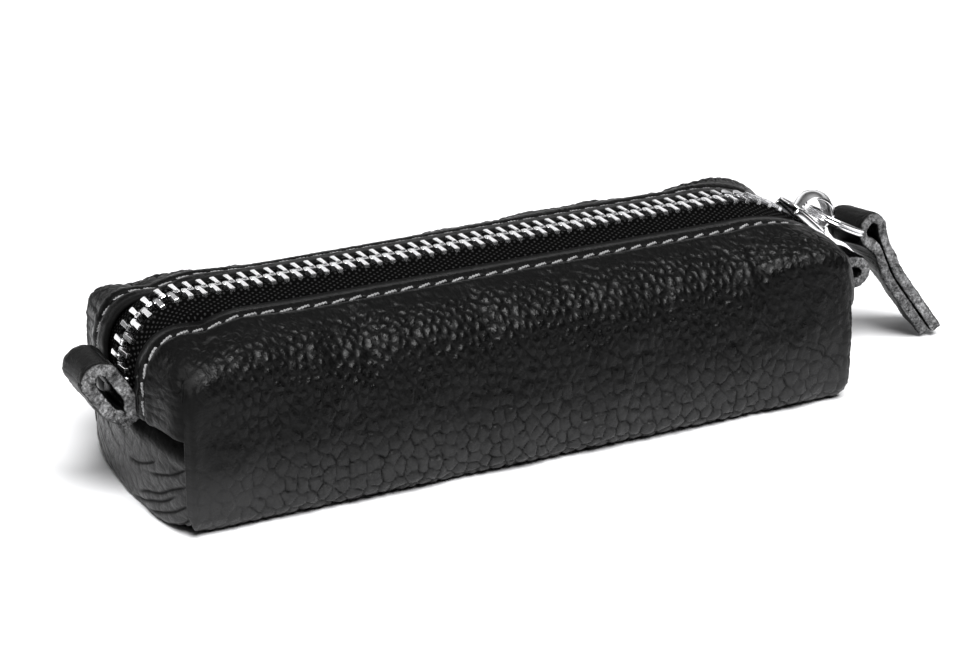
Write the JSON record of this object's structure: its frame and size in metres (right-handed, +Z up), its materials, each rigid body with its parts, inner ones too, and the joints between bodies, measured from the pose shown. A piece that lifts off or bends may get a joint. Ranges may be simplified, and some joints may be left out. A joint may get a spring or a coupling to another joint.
{
  "type": "fountain pen case",
  "caption": "Boxy zipped leather pouch for fountain pens: metal-toothed zip over the top, ring and strap pull, folded loops at both ends.",
  "frame": {"origin": "on the flat base, midway between the two end seams and between front and back", "axes": "+X along the case towards the closed end of the zip, +Y towards the back, +Z up"},
  "size_m": [0.1869, 0.05, 0.0384],
  "materials": {
    "hide": "black pebbled full-grain leather, soft sheen",
    "strip_leather": "smooth black leather strip with raw grey suede edges",
    "thread": "twisted grey sewing thread",
    "zip_tape": "black twill zip tape",
    "lining_cloth": "plain black woven lining",
    "nickel": "bright nickel plating"
  },
  "bodies": {
    "case": {"front_panel": "hide", "back_panel": "hide", "bottom_panel": "hide", "left_end_lower": "hide", "right_end_lower": "hide", "left_end_upper_front": "hide", "left_end_upper_back": "hide", "right_end_upper_front": "hide", "right_end_upper_back": "hide", "lining": "lining_cloth", "left_loop": "strip_leather", "right_loop": "strip_leather", "front_top_stop": "nickel", "back_top_stop": "nickel", "bottom_stop": "nickel"},
    "front_mouth": {"front_mouth_rim": "hide", "front_stitching": "thread", "front_zipper_tape": "zip_tape", "front_teeth": "nickel"},
    "back_mouth": {"back_mouth_rim": "hide", "back_stitching": "thread", "back_zipper_tape": "zip_tape", "back_teeth": "nickel"},
    "slider_lock": {"lock_pawl": "nickel"},
    "slider": {"slider_body": "nickel", "slider_crown": "nickel"},
    "ring": {"pull_ring": "nickel"},
    "pull": {"pull_tab": "strip_leather"}
  },
  "joints": [
    {"name": "zip_slide", "type": "slide", "parent": "case", "child": "slider_lock", "axis": [-0.9981, 0, 0.0611], "range_m": [0, 0.133], "deforming": ["pull_tab"]},
    {"name": "slider_level", "type": "hinge", "parent": "slider_lock", "child": "slider", "pos_m": [0.0747, 0, 0.03291], "axis": [0, -1, 0], "range_deg": [0, 43.5]},
    {"name": "front_mouth_fold", "type": "hinge", "parent": "case", "child": "front_mouth", "pos_m": [0, -0.0158, 0.03446], "axis": [1, 0, 0], "range_deg": [0, 55], "deforming": ["front_zipper_tape", "front_teeth"]},
    {"name": "back_mouth_fold", "type": "hinge", "parent": "case", "child": "back_mouth", "pos_m": [0, 0.0158, 0.03446], "axis": [-1, 0, 0], "range_deg": [0, 55], "deforming": ["back_zipper_tape", "back_teeth"]},
    {"name": "ring_swing", "type": "hinge", "parent": "slider", "child": "ring", "pos_m": [0.07666, 0, 0.03119], "axis": [0, -1, 0], "range_deg": [0, 110]},
    {"name": "pull_swing", "type": "hinge", "parent": "ring", "child": "pull", "pos_m": [0.08842, 0, 0.0252], "axis": [0, -1, 0], "range_deg": [-2, 35]}
  ],
  "couplings": [
    {"joint": "slider_level", "follows": "zip_slide", "rad_per_m": 5.7084},
    {"joint": "front_mouth_fold", "follows": "zip_slide", "rad_per_m": 7.217},
    {"joint": "back_mouth_fold", "follows": "zip_slide", "rad_per_m": 7.217}
  ]
}
